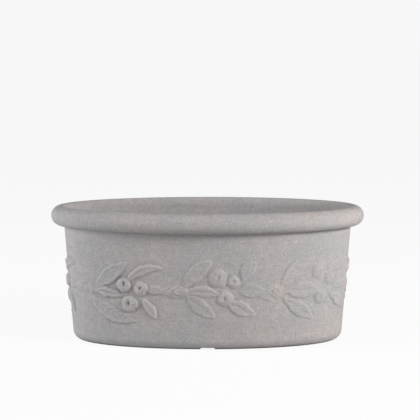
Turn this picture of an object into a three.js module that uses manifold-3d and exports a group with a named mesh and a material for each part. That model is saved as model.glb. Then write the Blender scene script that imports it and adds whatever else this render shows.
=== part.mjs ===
// Oval garden planter with a rolled rim, a raised garland round its wall, a lift-out drainage grid
// and four drain plugs. Millimetres, +Z up. The origin is on the ground, under the middle of the tub.
// The front faces -Y and the long axis lies along X.

import * as THREE from 'three';
import { mergeVertices } from 'three/addons/utils/BufferGeometryUtils.js';
import Module from 'manifold-3d';

const wasm = await Module();
wasm.setup();

// Overall size of the tub, taken over the rolled rim
const LENGTH = 600;
const WIDTH = 320;
const HEIGHT = 260;

// Moulded shell
const SKIN = 5; // thickness of the moulding everywhere
const RIM_RADIUS = 18.5; // outside radius of the roll
const RIM_HEIGHT = HEIGHT - RIM_RADIUS; // height of the roll's centre line
const WALL_TOP_INSET = 24.5; // how far the wall stands in from the rim's edge, just under the roll
const WALL_TOP = 225.8; // height that WALL_TOP_INSET is taken at
const TAPER = 0.0759; // how much the wall leans out for each millimetre of height
const CURL_SLIT = 2.9; // slot between the wall and the end of the curled rim
const FOOT_ROUND = 20; // radius of the outer bottom corner
const INNER_ROUND = 15; // radius where the inner wall meets the floor
const FOOT_WIDTH = 20; // flat ring that stands on the ground
const FOOT_STEP = 3; // slope between the ring and the raised underside
const UNDERSIDE = 5; // height of the underside above the ground
const FLOOR_TOP = UNDERSIDE + SKIN;
const NOTCH_HALF = 15.5; // drainage notch in the foot: half its width at the ground
const NOTCH_TOP_HALF = 11.5;
const NOTCH_HEIGHT = 4.6;

// Facets of the curved faces
const ROUND_STEPS = 64; // round every oval
const CORNER_STEPS = 4; // across the outer bottom corner
const INNER_CORNER_STEPS = 3;
const BORE_STEPS = 6; // inside the curl of the rim
const LIP_STEPS = 5; // under the roll
const ROLL_STEPS = 4; // across each upper quarter of the roll
const PLUG_STEPS = 16; // round the plugs, seals and drain holes
const LEG_SIDES = 12;
const FINGER_STEPS = 6;
const SLOT_END_STEPS = 2;
const LEAF_SIDES = 4;
const FRUIT_SIDES = 8;
const SAME_POINT = 1e-4; // corners nearer than this are joined

// Garland
const SPRAYS = 7;
const GARLAND_HEIGHT = 114; // height of the garland's middle line
const GARLAND_SHIFT = -40; // where one spray starts, along the wall from the middle of the front
const LEAF_PROUD = 4.5;
const FRUIT_PROUD = 6.5;
const STEM_PROUD = 4;
const BURIED = 2; // how deep a raised shape is rooted in the wall
const SINK = 1; // how far its widest outline lies under the wall's face

// Pieces that lift out
const CLEARANCE = 0.3; // gap between two pieces that touch
const PLUG_X = 160;
const PLUG_Y = 35;
const HOLE_RADIUS = 10; // drain hole in the floor
const PLUG_CHAMFER = 1.5; // round the foot of the plug's stem
const FLANGE_RADIUS = 15;
const FLANGE_HEIGHT = 3;
const FLANGE_CHAMFER = 1;
const SEAL_HEIGHT = 1.6;
const SEAL_BORE = HOLE_RADIUS + 0.6;
const KNOB_RADIUS = 6;
const KNOB_HEIGHT = 8;
const KNOB_CHAMFER = 1;
const KNOB_CAP = 3; // height of the wide part of the knob
const NECK_RADIUS = 4; // below it
const GRID_HEIGHT = 50; // height of the grid's underside
const GRID_PLATE = 4;
const GRID_GAP = 4; // all round, between the grid and the wall
const SLOT_LENGTH = 40;
const SLOT_WIDTH = 10;
const SLOT_PITCH_X = 54;
const SLOT_PITCH_Y = 25;
const SLOT_MARGIN = 12; // solid border left round the grid
const LEG_TOP_RADIUS = 11;
const LEG_FOOT_RADIUS = 8;
const LEGS = [[0, 0], [216, 0], [-216, 0], [108, 50], [108, -50], [-108, 50], [-108, -50]];
const FINGER_HOLES = [[162, 0], [-162, 0]]; // two holes to lift the grid out by
const FINGER_RADIUS = 13;

const WALL_TOP_RADIUS = LENGTH / 2 - WALL_TOP_INSET;
const OVAL_DIFFERENCE = (LENGTH - WIDTH) / 2; // half length less half width, the same at every height

// Half length of the wall's outer face at height z
const wallRadius = (z) => WALL_TOP_RADIUS - TAPER * (WALL_TOP - z);

const FOOT_OUTER = wallRadius(FOOT_ROUND) - FOOT_ROUND;
const FOOT_INNER = FOOT_OUTER - FOOT_WIDTH;

// Half width of the oval whose half length is r. Ovals inside the foot shrink in proportion.
function halfWidth(r) {
  if (r >= FOOT_INNER) {
    return r - OVAL_DIFFERENCE;
  }
  return r * (FOOT_INNER - OVAL_DIFFERENCE) / FOOT_INNER;
}

// A closed body, as manifold-3d needs it, from any closed three.js geometry
function solidFrom(geometry) {
  const bare = geometry.clone();
  bare.deleteAttribute('normal');
  bare.deleteAttribute('uv');
  const merged = mergeVertices(bare, SAME_POINT);
  const corners = merged.index.array;
  const triVerts = [];
  for (let i = 0; i < corners.length; i += 3) {
    const [a, b, c] = corners.slice(i, i + 3);
    if (a !== b && b !== c && c !== a) {
      triVerts.push(a, b, c);
    }
  }
  return new wasm.Manifold(new wasm.Mesh({
    numProp: 3,
    vertProperties: new Float32Array(merged.attributes.position.array),
    triVerts: new Uint32Array(triVerts),
  }));
}

function geometryFrom(solid) {
  const mesh = solid.getMesh();
  const geometry = new THREE.BufferGeometry();
  geometry.setAttribute('position', new THREE.BufferAttribute(mesh.vertProperties, 3));
  geometry.setIndex(new THREE.BufferAttribute(mesh.triVerts, 1));
  geometry.computeVertexNormals();
  return geometry;
}

// Revolves a profile of (half length, height) points into an oval body standing along +Z
function ovalBody(profile) {
  const body = new THREE.LatheGeometry(profile, ROUND_STEPS).rotateX(Math.PI / 2);
  const points = body.attributes.position;
  for (let i = 0; i < points.count; i += 1) {
    const r = Math.hypot(points.getX(i), points.getY(i));
    if (r > 0) {
      points.setY(i, points.getY(i) * halfWidth(r) / r);
    }
  }
  return body;
}

// Points on an elliptical arc in the profile plane, angles in degrees from the outward direction
function arc(centreR, centreZ, radiusR, radiusZ, from, to, steps) {
  const points = [];
  for (let i = 0; i <= steps; i += 1) {
    const angle = THREE.MathUtils.degToRad(from + (to - from) * i / steps);
    points.push(new THREE.Vector2(centreR + radiusR * Math.cos(angle), centreZ + radiusZ * Math.sin(angle)));
  }
  return points;
}

const point = (r, z) => new THREE.Vector2(r, z);

// Section of the one-piece shell: underside, foot, wall, the open curl of the rim, inner wall, floor
function shellProfile() {
  const rollCentre = LENGTH / 2 - RIM_RADIUS;
  const boreRadius = RIM_RADIUS - SKIN;
  const lipEnd = wallRadius(WALL_TOP) + CURL_SLIT;
  const lipAngle = THREE.MathUtils.radToDeg(Math.acos((lipEnd - rollCentre) / RIM_RADIUS));
  const boreAngle = THREE.MathUtils.radToDeg(Math.acos((lipEnd - rollCentre) / boreRadius));
  const innerTop = wallRadius(RIM_HEIGHT) - SKIN;
  const cornerTop = FLOOR_TOP + INNER_ROUND;
  const cornerCentre = wallRadius(cornerTop) - SKIN - INNER_ROUND;
  return [
    point(0, UNDERSIDE),
    point(FOOT_INNER - FOOT_STEP, UNDERSIDE),
    point(FOOT_INNER, 0),
    ...arc(FOOT_OUTER, FOOT_ROUND, FOOT_ROUND, FOOT_ROUND, -90, 0, CORNER_STEPS),
    point(wallRadius(RIM_HEIGHT), RIM_HEIGHT),
    ...arc(rollCentre, RIM_HEIGHT, boreRadius, boreRadius, 90, -boreAngle, BORE_STEPS),
    ...arc(rollCentre, RIM_HEIGHT, RIM_RADIUS, RIM_RADIUS, -lipAngle, 0, LIP_STEPS),
    ...arc(rollCentre, RIM_HEIGHT, RIM_RADIUS, RIM_RADIUS, 0, 90, ROLL_STEPS).slice(1),
    ...arc(rollCentre, RIM_HEIGHT, rollCentre - innerTop, RIM_RADIUS, 90, 180, ROLL_STEPS).slice(1),
    ...arc(cornerCentre, cornerTop, INNER_ROUND, INNER_ROUND, 0, -90, INNER_CORNER_STEPS),
    point(0, FLOOR_TOP),
  ];
}

// The wall's outline at the garland's height, from the middle of the front towards +X
const garlandLine = new THREE.EllipseCurve(
  0,
  0,
  wallRadius(GARLAND_HEIGHT),
  wallRadius(GARLAND_HEIGHT) - OVAL_DIFFERENCE,
  -Math.PI / 2,
  Math.PI * 1.5,
);
garlandLine.arcLengthDivisions = 720;
const GARLAND_LENGTH = garlandLine.getLength();
const SPRAY_PITCH = GARLAND_LENGTH / SPRAYS;

// The point that stands out from the wall by `proud`, at `along` round the garland and `up` from its line
function onWall(along, up, proud) {
  const share = THREE.MathUtils.euclideanModulo(along / GARLAND_LENGTH, 1);
  const place = garlandLine.getPointAt(share);
  const tangent = garlandLine.getTangentAt(share);
  const outward = proud + TAPER * up;
  return new THREE.Vector3(
    place.x + tangent.y * outward,
    place.y - tangent.x * outward,
    GARLAND_HEIGHT + up,
  );
}

// Lays a small body on the wall. place() turns its local point into [along, up, share of its height].
function wrapOnWall(geometry, proud, place) {
  const points = geometry.attributes.position;
  const local = new THREE.Vector3();
  for (let i = 0; i < points.count; i += 1) {
    local.fromBufferAttribute(points, i);
    const [along, up, share] = place(local);
    const depth = share * (share > 0 ? proud + SINK : BURIED);
    const spot = onWall(along, up, depth - SINK);
    points.setXYZ(i, spot.x, spot.y, spot.z);
  }
  return solidFrom(geometry);
}

// Outlines that are revolved into the raised shapes: [distance from the axis, place along it], as shares
const LEAF_OUTLINE = [[0, 0], [0.95, 0.34], [0.75, 0.72], [0, 1]];
const STEM_OUTLINE = [[0, 0], [1, 0.15], [1, 0.85], [0, 1]];
const FRUIT_OUTLINE = [[0, -1], [1, 0], [0.72, 0.7], [0, 1]];

function turned(outline, sides) {
  return new THREE.LatheGeometry(outline.map(([r, along]) => point(r, along)), sides);
}

// A four-sided leaf or stem with a ridge down its face, from `base` to `tip`, both [along, up].
// `bow` pushes its middle sideways.
function wallSpindle(outline, start, { base, tip, half, bow = 0 }, proud) {
  const run = new THREE.Vector2(tip[0] - base[0], tip[1] - base[1]);
  const side = new THREE.Vector2(run.y, -run.x).normalize();
  return wrapOnWall(turned(outline, LEAF_SIDES), proud, (local) => {
    const across = local.x * half - bow * Math.sin(Math.PI * local.y);
    return [
      start + base[0] + run.x * local.y + side.x * across,
      base[1] + run.y * local.y + side.y * across,
      local.z,
    ];
  });
}

function wallFruit(start, { centre, radius }) {
  const dome = turned(FRUIT_OUTLINE, FRUIT_SIDES).rotateX(Math.PI / 2);
  return wrapOnWall(dome, FRUIT_PROUD, (local) => [
    start + centre[0] + local.x * radius,
    centre[1] + local.y * radius,
    local.z,
  ]);
}

// One spray of the garland, read from its node towards the next: [along, up] in millimetres
const LEAVES = [
  { base: [4, 3], tip: [58, 57], half: 14, bow: 5 },
  { base: [2, -1], tip: [64, -1], half: 8 },
  { base: [0, -9], tip: [68, -52], half: 13, bow: -4 },
  { base: [70, 24], tip: [136, 48], half: 11, bow: 9 },
  { base: [92, -14], tip: [126, -47], half: 9, bow: 3 },
  { base: [104, 3], tip: [144, 3], half: 8 },
];
const FRUITS = [
  { centre: [63, 19], radius: 15 },
  { centre: [94, 10], radius: 12.5 },
  { centre: [77, -18], radius: 15 },
];
const STEM = { base: [132, 3], tip: [192, 1], half: 5 };

function garlandBodies() {
  const bodies = [];
  for (let i = 0; i < SPRAYS; i += 1) {
    const start = GARLAND_SHIFT + i * SPRAY_PITCH;
    for (const leaf of LEAVES) {
      bodies.push(wallSpindle(LEAF_OUTLINE, start, leaf, LEAF_PROUD));
    }
    for (const fruit of FRUITS) {
      bodies.push(wallFruit(start, fruit));
    }
    bodies.push(wallSpindle(STEM_OUTLINE, start, STEM, STEM_PROUD));
  }
  return bodies;
}

// Notch that runs through the foot at the front and the back
function footNotch() {
  const outline = new THREE.Shape([
    point(-NOTCH_HALF, -1),
    point(NOTCH_HALF, -1),
    point(NOTCH_HALF, 0),
    point(NOTCH_TOP_HALF, NOTCH_HEIGHT),
    point(-NOTCH_TOP_HALF, NOTCH_HEIGHT),
    point(-NOTCH_HALF, 0),
  ]);
  const cutter = new THREE.ExtrudeGeometry(outline, { depth: WIDTH, bevelEnabled: false });
  cutter.rotateX(Math.PI / 2).translate(0, WIDTH / 2, 0);
  return solidFrom(cutter);
}

const PLUG_PLACES = {
  front_left: [-PLUG_X, -PLUG_Y],
  front_right: [PLUG_X, -PLUG_Y],
  rear_left: [-PLUG_X, PLUG_Y],
  rear_right: [PLUG_X, PLUG_Y],
};

function drainHole([x, y]) {
  const cutter = new THREE.CylinderGeometry(HOLE_RADIUS, HOLE_RADIUS, FLOOR_TOP * 2, PLUG_STEPS);
  cutter.rotateX(Math.PI / 2).translate(x, y, FLOOR_TOP);
  return solidFrom(cutter);
}

function planterShell() {
  let shell = solidFrom(ovalBody(shellProfile()));
  for (const body of garlandBodies()) {
    shell = shell.add(body);
  }
  shell = shell.subtract(footNotch());
  for (const place of Object.values(PLUG_PLACES)) {
    shell = shell.subtract(drainHole(place));
  }
  return geometryFrom(shell);
}

// Round-ended slot along X
function slotOutline(x, y) {
  const reach = (SLOT_LENGTH - SLOT_WIDTH) / 2;
  const outline = new THREE.Path();
  outline.absarc(x + reach, y, SLOT_WIDTH / 2, -Math.PI / 2, Math.PI / 2);
  outline.absarc(x - reach, y, SLOT_WIDTH / 2, Math.PI / 2, Math.PI * 1.5);
  return new THREE.Path(outline.getPoints(SLOT_END_STEPS));
}

function roundOutline([x, y], radius) {
  const outline = new THREE.Path();
  outline.absarc(x, y, radius, 0, Math.PI * 2);
  return new THREE.Path(outline.getPoints(FINGER_STEPS).slice(0, -1));
}

// True where a slot centred on (x, y) stays inside the border and clear of the legs and finger holes
function slotFits(x, y, halfLength, halfBreadth) {
  const reachX = (Math.abs(x) + SLOT_LENGTH / 2 - SLOT_WIDTH / 4) / (halfLength - SLOT_MARGIN);
  const reachY = (Math.abs(y) + SLOT_WIDTH / 2) / (halfBreadth - SLOT_MARGIN);
  const taken = [...LEGS, ...FINGER_HOLES].some((place) => place[0] === x && place[1] === y);
  return reachX ** 2 + reachY ** 2 < 1 && !taken;
}

function gridPlate() {
  const halfLength = wallRadius(GRID_HEIGHT) - SKIN - GRID_GAP;
  const halfBreadth = halfLength - OVAL_DIFFERENCE;
  const oval = new THREE.EllipseCurve(0, 0, halfLength, halfBreadth, 0, Math.PI * 2);
  const outline = new THREE.Shape(oval.getPoints(ROUND_STEPS).slice(0, -1));
  const columns = Math.floor(halfLength / SLOT_PITCH_X);
  const rows = Math.floor(halfBreadth / SLOT_PITCH_Y);
  for (let row = -rows; row <= rows; row += 1) {
    for (let column = -columns; column <= columns; column += 1) {
      const x = column * SLOT_PITCH_X;
      const y = row * SLOT_PITCH_Y;
      if (slotFits(x, y, halfLength, halfBreadth)) {
        outline.holes.push(slotOutline(x, y));
      }
    }
  }
  outline.holes.push(...FINGER_HOLES.map((place) => roundOutline(place, FINGER_RADIUS)));
  const plate = new THREE.ExtrudeGeometry(outline, { depth: GRID_PLATE, bevelEnabled: false });
  return plate.translate(0, 0, GRID_HEIGHT);
}

function gridLeg([x, y]) {
  const bottom = FLOOR_TOP + CLEARANCE;
  const top = GRID_HEIGHT + GRID_PLATE / 2;
  const leg = new THREE.CylinderGeometry(LEG_TOP_RADIUS, LEG_FOOT_RADIUS, top - bottom, LEG_SIDES);
  leg.rotateX(Math.PI / 2).translate(x, y, (top + bottom) / 2);
  return solidFrom(leg);
}

function drainageGrid() {
  let grid = solidFrom(gridPlate());
  for (const place of LEGS) {
    grid = grid.add(gridLeg(place));
  }
  return geometryFrom(grid);
}

// Stopper with a flange that seats on the seal and a knob to pull it by. Its base is at z = 0.
function plugGeometry() {
  const stem = HOLE_RADIUS - CLEARANCE;
  const seat = FLOOR_TOP - UNDERSIDE + SEAL_HEIGHT;
  const flangeTop = seat + FLANGE_HEIGHT;
  const top = flangeTop + KNOB_HEIGHT;
  const profile = [
    point(0, 0),
    point(stem - PLUG_CHAMFER, 0),
    point(stem, PLUG_CHAMFER),
    point(stem, seat),
    point(FLANGE_RADIUS, seat),
    point(FLANGE_RADIUS, flangeTop - FLANGE_CHAMFER),
    point(FLANGE_RADIUS - FLANGE_CHAMFER, flangeTop),
    point(NECK_RADIUS, flangeTop),
    point(NECK_RADIUS, top - KNOB_CAP - KNOB_CHAMFER),
    point(KNOB_RADIUS, top - KNOB_CAP),
    point(KNOB_RADIUS - KNOB_CHAMFER, top),
    point(0, top),
  ];
  return geometryFrom(solidFrom(new THREE.LatheGeometry(profile, PLUG_STEPS).rotateX(Math.PI / 2)));
}

// Flat washer. Its base is at z = 0.
function sealGeometry() {
  const height = SEAL_HEIGHT - CLEARANCE;
  const profile = [
    point(SEAL_BORE, 0),
    point(FLANGE_RADIUS, 0),
    point(FLANGE_RADIUS, height),
    point(SEAL_BORE, height),
    point(SEAL_BORE, 0),
  ];
  return geometryFrom(solidFrom(new THREE.LatheGeometry(profile, PLUG_STEPS).rotateX(Math.PI / 2)));
}

const stoneEffect = new THREE.MeshStandardMaterial({ color: 0xa6a19f, roughness: 0.85, metalness: 0 });
const blackPlastic = new THREE.MeshStandardMaterial({ color: 0x2c2d2e, roughness: 0.6, metalness: 0 });
const plugPlastic = new THREE.MeshStandardMaterial({ color: 0x3a3c3d, roughness: 0.5, metalness: 0 });
const sealRubber = new THREE.MeshStandardMaterial({ color: 0x151515, roughness: 0.9, metalness: 0 });

function namedMesh(name, geometry, material, x = 0, y = 0, z = 0) {
  const mesh = new THREE.Mesh(geometry, material.clone());
  mesh.name = name;
  mesh.position.set(x, y, z);
  return mesh;
}

const planter = new THREE.Group();
planter.add(namedMesh('planter_shell', planterShell(), stoneEffect));
planter.add(namedMesh('drainage_grid', drainageGrid(), blackPlastic));
for (const [place, [x, y]] of Object.entries(PLUG_PLACES)) {
  planter.add(namedMesh(`drain_plug_${place}`, plugGeometry(), plugPlastic, x, y, UNDERSIDE + CLEARANCE));
  planter.add(namedMesh(`plug_seal_${place}`, sealGeometry(), sealRubber, x, y, FLOOR_TOP + CLEARANCE));
}

export default planter;
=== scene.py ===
"""Oval garden planter in a stone-effect plastic, with a garland of fruit and leaves round its wall.

A drainage grid lifts out of it, and four plugs close the drain holes in its floor.
"""

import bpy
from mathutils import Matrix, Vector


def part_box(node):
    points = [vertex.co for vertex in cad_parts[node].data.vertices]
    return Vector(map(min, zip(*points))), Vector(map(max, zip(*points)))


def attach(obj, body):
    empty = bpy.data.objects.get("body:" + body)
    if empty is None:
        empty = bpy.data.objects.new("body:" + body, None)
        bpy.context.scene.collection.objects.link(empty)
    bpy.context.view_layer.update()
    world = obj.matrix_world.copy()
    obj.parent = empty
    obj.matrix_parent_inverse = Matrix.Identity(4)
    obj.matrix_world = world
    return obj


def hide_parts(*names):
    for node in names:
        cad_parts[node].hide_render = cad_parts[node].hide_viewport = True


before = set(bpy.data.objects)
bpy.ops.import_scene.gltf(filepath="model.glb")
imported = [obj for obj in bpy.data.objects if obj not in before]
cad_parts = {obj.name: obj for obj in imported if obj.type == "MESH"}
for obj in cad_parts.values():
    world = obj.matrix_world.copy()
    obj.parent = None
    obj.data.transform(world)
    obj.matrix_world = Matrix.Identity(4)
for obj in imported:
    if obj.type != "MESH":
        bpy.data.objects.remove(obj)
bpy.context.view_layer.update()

import math

import bmesh
import bpy
import numpy as np
from mathutils import Matrix, Vector
from mathutils.geometry import delaunay_2d_cdt

MM = 0.001

# The tub's overall size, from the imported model
SHELL_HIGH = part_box("planter_shell")[1]
HALF_LENGTH = SHELL_HIGH[0]
HEIGHT = SHELL_HIGH[2]
OVAL_DIFFERENCE = SHELL_HIGH[0] - SHELL_HIGH[1]

# Section of the moulding
SKIN = 5 * MM
RIM_RADIUS = 18.5 * MM
RIM_HEIGHT = HEIGHT - RIM_RADIUS
WALL_TOP_INSET = 24.5 * MM
WALL_TOP = 225.8 * MM
TAPER = 0.0759  # how far the wall comes in for each unit down
CURL_SLIT = 2.9 * MM
CURL_ROWS = 2 * MM  # how far the wall's fine rows go on inside the curl
LIP_INSET = 0.7 * MM  # from the slit's edge to the flat end of the curl
LIP_LOW = 0.9 * MM  # the two ends of that flat, above the bottom of the roll
LIP_HIGH = 3.2 * MM
LIP_CORNER = 1.5  # degrees of the roll that its corner with that flat takes up
FOOT_ROUND = 20 * MM
FOOT_WIDTH = 20 * MM
FOOT_STEP = 3 * MM
FOOT_CHAMFER = 0.8 * MM
FOOT_EASE = 0.5 * MM
FOOT_FLAT = 2 * MM  # of the ground ring that belongs to the fine outer face
INNER_ROUND = 15 * MM
UNDERSIDE = 5 * MM
FLOOR_TOP = UNDERSIDE + SKIN
NOTCH_HALF = 15.5 * MM
NOTCH_TOP_HALF = 11.5 * MM
NOTCH_HEIGHT = 4.6 * MM
DRAIN_RADIUS = 10 * MM

# Garland
GARLAND_HEIGHT = 114 * MM
SPRAYS = 7
GARLAND_SHIFT = -40 * MM
BAND_LOW = 46 * MM
BAND_HIGH = 184 * MM
RELIEF = 0.85  # share of the full carved height
SOFTNESS = 1.1  # millimetres, how far the moulding rounds every edge of the garland
SURROUND = 3.2  # millimetres, how far round a place the height is averaged to see if it is hollow

# Finish
FOOT_SHADOW_HEIGHT = 7.5 * MM  # how far up the painted contact shadow at the foot fades out
FOOT_SHADOW_CREST = -2  # the crest value at the very foot, below that of any hollow, where the painted contact shadow is darkest
EDGE_WEAR_AND_HIGHLIGHT = 0.9  # the crest value of the grid's edges, which are painted paler, part wear and part painted highlight
WEAR_AND_HIGHLIGHT_PER_TURN = 1.6  # the crest value of a turned piece's edge, for each unit of the sine of its angle; the paler edge is part wear and part painted highlight

# Drainage grid
GRID_PLATE = 4 * MM
GRID_EDGE = 0.7 * MM
GRID_BORDER = 6.5 * MM
GRID_RECESS = 0.8 * MM
SLOT_LENGTH = 40 * MM
SLOT_WIDTH = 10 * MM
SLOT_PITCH_X = 54 * MM
SLOT_PITCH_Y = 25 * MM
SLOT_MARGIN = 12 * MM
LEG_TOP_RADIUS = 11 * MM
LEG_FOOT_RADIUS = 8 * MM
LEG_FILLET = 2.2 * MM
LEG_FOOT_ROUND = 1.2 * MM
LEG_SINK = 1 * MM  # how far a leg's top is sunk into the plate
LEG_REACH_X = 108 * MM
LEG_REACH_Y = 50 * MM
LEGS = [(0, 0), (2 * LEG_REACH_X, 0), (-2 * LEG_REACH_X, 0)]
LEGS += [(x, y) for x in (LEG_REACH_X, -LEG_REACH_X) for y in (LEG_REACH_Y, -LEG_REACH_Y)]
FINGER_REACH = 162 * MM
FINGER_HOLES = [(FINGER_REACH, 0), (-FINGER_REACH, 0)]
FINGER_RADIUS = 13 * MM

# Drain plugs: the stem from its foot up, the flange that sits on the seal, then the neck and the knob
STEM_RADIUS = 9.7 * MM
STEM_ROUND = 1.5 * MM
STEM_HOLLOW = 0.6 * MM
STEM_GROOVE_LOW = 3.2 * MM
STEM_GROOVE_HIGH = 4.6 * MM
STEM_GROOVE_DEPTH = 0.35 * MM
PLUG_SEAT = 6.6 * MM
FLANGE_THICK = 3 * MM
FLANGE_LOWER_ROUND = 0.6 * MM
FLANGE_UPPER_ROUND = 1.2 * MM
FLANGE_RING_OUTER = 12.2 * MM
FLANGE_RING_INNER = 10.9 * MM
FLANGE_RING_DEPTH = 0.25 * MM
NECK_RADIUS = 4 * MM
NECK_ROUND = 1.2 * MM
KNOB_RADIUS = 6 * MM
KNOB_FLARE = 3 * MM
KNOB_ROUND = 1.5 * MM
FLUTE_COUNT = 12
FLUTE_DEPTH = 0.45 * MM
KNOB_DIMPLE_RADIUS = 2.4 * MM
KNOB_DIMPLE_DEPTH = 0.5 * MM

# Plug seals: washers with a fine rib near each edge of each face
SEAL_BORE = 10.6 * MM
SEAL_EDGE = 0.4 * MM
SEAL_CHAMFER = 0.25 * MM
SEAL_RIB_INSET = 1.15 * MM
SEAL_RIB_HALF = 0.35 * MM
SEAL_RIB_HEIGHT = 0.12 * MM

# Mesh fineness
COLUMNS = 1152
COARSE = 4  # fine columns to each coarse one
BAND_STEP = 1.15 * MM
GRID_STEPS = 256
HOLE_STEPS = 40
LEG_STEPS = 40
PLUG_STEPS = 72
SAME_POINT = 0.001 * MM
LEVEL = 0.99999  # the upright share of a face's normal, from which the face counts as level


def wall_radius(z):
    """Half length of the wall's outer face at height z."""
    return HALF_LENGTH - WALL_TOP_INSET - TAPER * (WALL_TOP - z)


FOOT_OUTER = wall_radius(FOOT_ROUND) - FOOT_ROUND
FOOT_INNER = FOOT_OUTER - FOOT_WIDTH


# --- Camera, light and floor ------------------------------------------------------------------------

ROOM_LIGHT = 0.21  # how bright the room is where it lights the part
ROOM_SEEN = 0.93  # how bright the camera sees it
FLOOR_GREY = 0.68
FLOOR_SEEN = 1.0  # how bright the floor's glow is
FLOOR_GLOW = 0.91  # share of the glow in what the camera sees of the floor


def add_camera():
    """The viewing angle of the reference: a long lens, a little above the rim, square to the front."""
    distance = 2.811
    elevation = math.radians(9.27)
    aim_height = 0.130
    pitch_up = math.radians(2.436)
    yaw_right = math.radians(0.098)
    data = bpy.data.cameras.new("camera")
    data.lens = 124.65
    data.sensor_width = 36
    camera = bpy.data.objects.new("camera", data)
    bpy.context.collection.objects.link(camera)
    target = Vector((0, 0, aim_height))
    camera.location = target + distance * Vector((0, -math.cos(elevation), math.sin(elevation)))
    aim = (target - camera.location).to_track_quat("-Z", "Y").to_matrix()
    turn = Matrix.Rotation(-yaw_right, 3, "Y") @ Matrix.Rotation(pitch_up, 3, "X")
    camera.rotation_euler = (aim @ turn).to_euler()
    bpy.context.scene.camera = camera


def area_light(name, location, target, size, power, colour):
    """A rectangular lamp at location that faces target."""
    data = bpy.data.lights.new(name, "AREA")
    data.shape = "RECTANGLE"
    data.size, data.size_y = size
    data.energy = power
    data.color = colour
    light = bpy.data.objects.new(name, data)
    bpy.context.collection.objects.link(light)
    light.location = location
    light.rotation_euler = (Vector(target) - Vector(location)).to_track_quat("-Z", "Y").to_euler()


def stage_shader(tree, seen, share):
    """An even white glow of strength `seen`, and a share of it that only the camera's own rays get."""
    emission = tree.nodes.new("ShaderNodeEmission")
    emission.inputs["Color"].default_value = (1, 1, 1, 1)
    emission.inputs["Strength"].default_value = seen
    path = tree.nodes.new("ShaderNodeLightPath")
    scaled = tree.nodes.new("ShaderNodeMath")
    scaled.operation = "MULTIPLY"
    scaled.inputs[1].default_value = share
    tree.links.new(path.outputs["Is Camera Ray"], scaled.inputs[0])
    return emission.outputs["Emission"], scaled.outputs["Value"]


def add_room():
    """An even white room, which the camera sees brighter than it lights the part."""
    world = bpy.data.worlds.new("room")
    world.use_nodes = True
    tree = world.node_tree
    soft = tree.nodes["Background"]
    soft.inputs["Color"].default_value = (1, 1, 1, 1)
    soft.inputs["Strength"].default_value = ROOM_LIGHT
    bright = tree.nodes.new("ShaderNodeBackground")
    bright.inputs["Color"].default_value = (1, 1, 1, 1)
    bright.inputs["Strength"].default_value = ROOM_SEEN
    path = tree.nodes.new("ShaderNodeLightPath")
    mix = tree.nodes.new("ShaderNodeMixShader")
    tree.links.new(path.outputs["Is Camera Ray"], mix.inputs["Fac"])
    tree.links.new(soft.outputs["Background"], mix.inputs[1])
    tree.links.new(bright.outputs["Background"], mix.inputs[2])
    tree.links.new(mix.outputs["Shader"], tree.nodes["World Output"].inputs["Surface"])
    bpy.context.scene.world = world
    bpy.context.scene.view_settings.view_transform = "Standard"


def add_floor():
    """A white paper floor that glows a little, so that only a soft contact shadow shows on it."""
    reach = 40  # metres, far enough to fill the view
    corners = [(-reach, -reach, 0), (reach, -reach, 0), (reach, reach, 0), (-reach, reach, 0)]
    mesh = bpy.data.meshes.new("floor")
    mesh.from_pydata(corners, [], [(0, 1, 2, 3)])
    floor = bpy.data.objects.new("floor", mesh)
    bpy.context.collection.objects.link(floor)
    material = bpy.data.materials.new("floor_paper")
    material.use_nodes = True
    tree = material.node_tree
    paper = tree.nodes["Principled BSDF"]
    paper.inputs["Base Color"].default_value = (FLOOR_GREY, FLOOR_GREY, FLOOR_GREY, 1)
    paper.inputs["Roughness"].default_value = 0.9
    glow, share = stage_shader(tree, FLOOR_SEEN, FLOOR_GLOW)
    mix = tree.nodes.new("ShaderNodeMixShader")
    tree.links.new(share, mix.inputs["Fac"])
    tree.links.new(paper.outputs["BSDF"], mix.inputs[1])
    tree.links.new(glow, mix.inputs[2])
    tree.links.new(mix.outputs["Shader"], tree.nodes["Material Output"].inputs["Surface"])
    mesh.materials.append(material)


def add_studio():
    """A soft key high on the right, a low fill from the left, and an even white room and floor."""
    middle = (0, 0, 0.12)
    area_light("key", (2.4, -1.5, 1.42), middle, size=(1.6, 0.8), power=116, colour=(1.0, 0.985, 0.965))
    area_light("fill", (-2.6, -0.45, 0.9), middle, size=(1.3, 1.3), power=68, colour=(0.97, 0.98, 1.0))
    add_room()
    add_floor()


# --- Garland: heights over the wall, as a map of (up, along) -----------------------------------------


def smooth(x):
    """0 below 0, 1 above 1, with an even slope between."""
    x = np.clip(x, 0, 1)
    return x * x * (3 - 2 * x)


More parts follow.
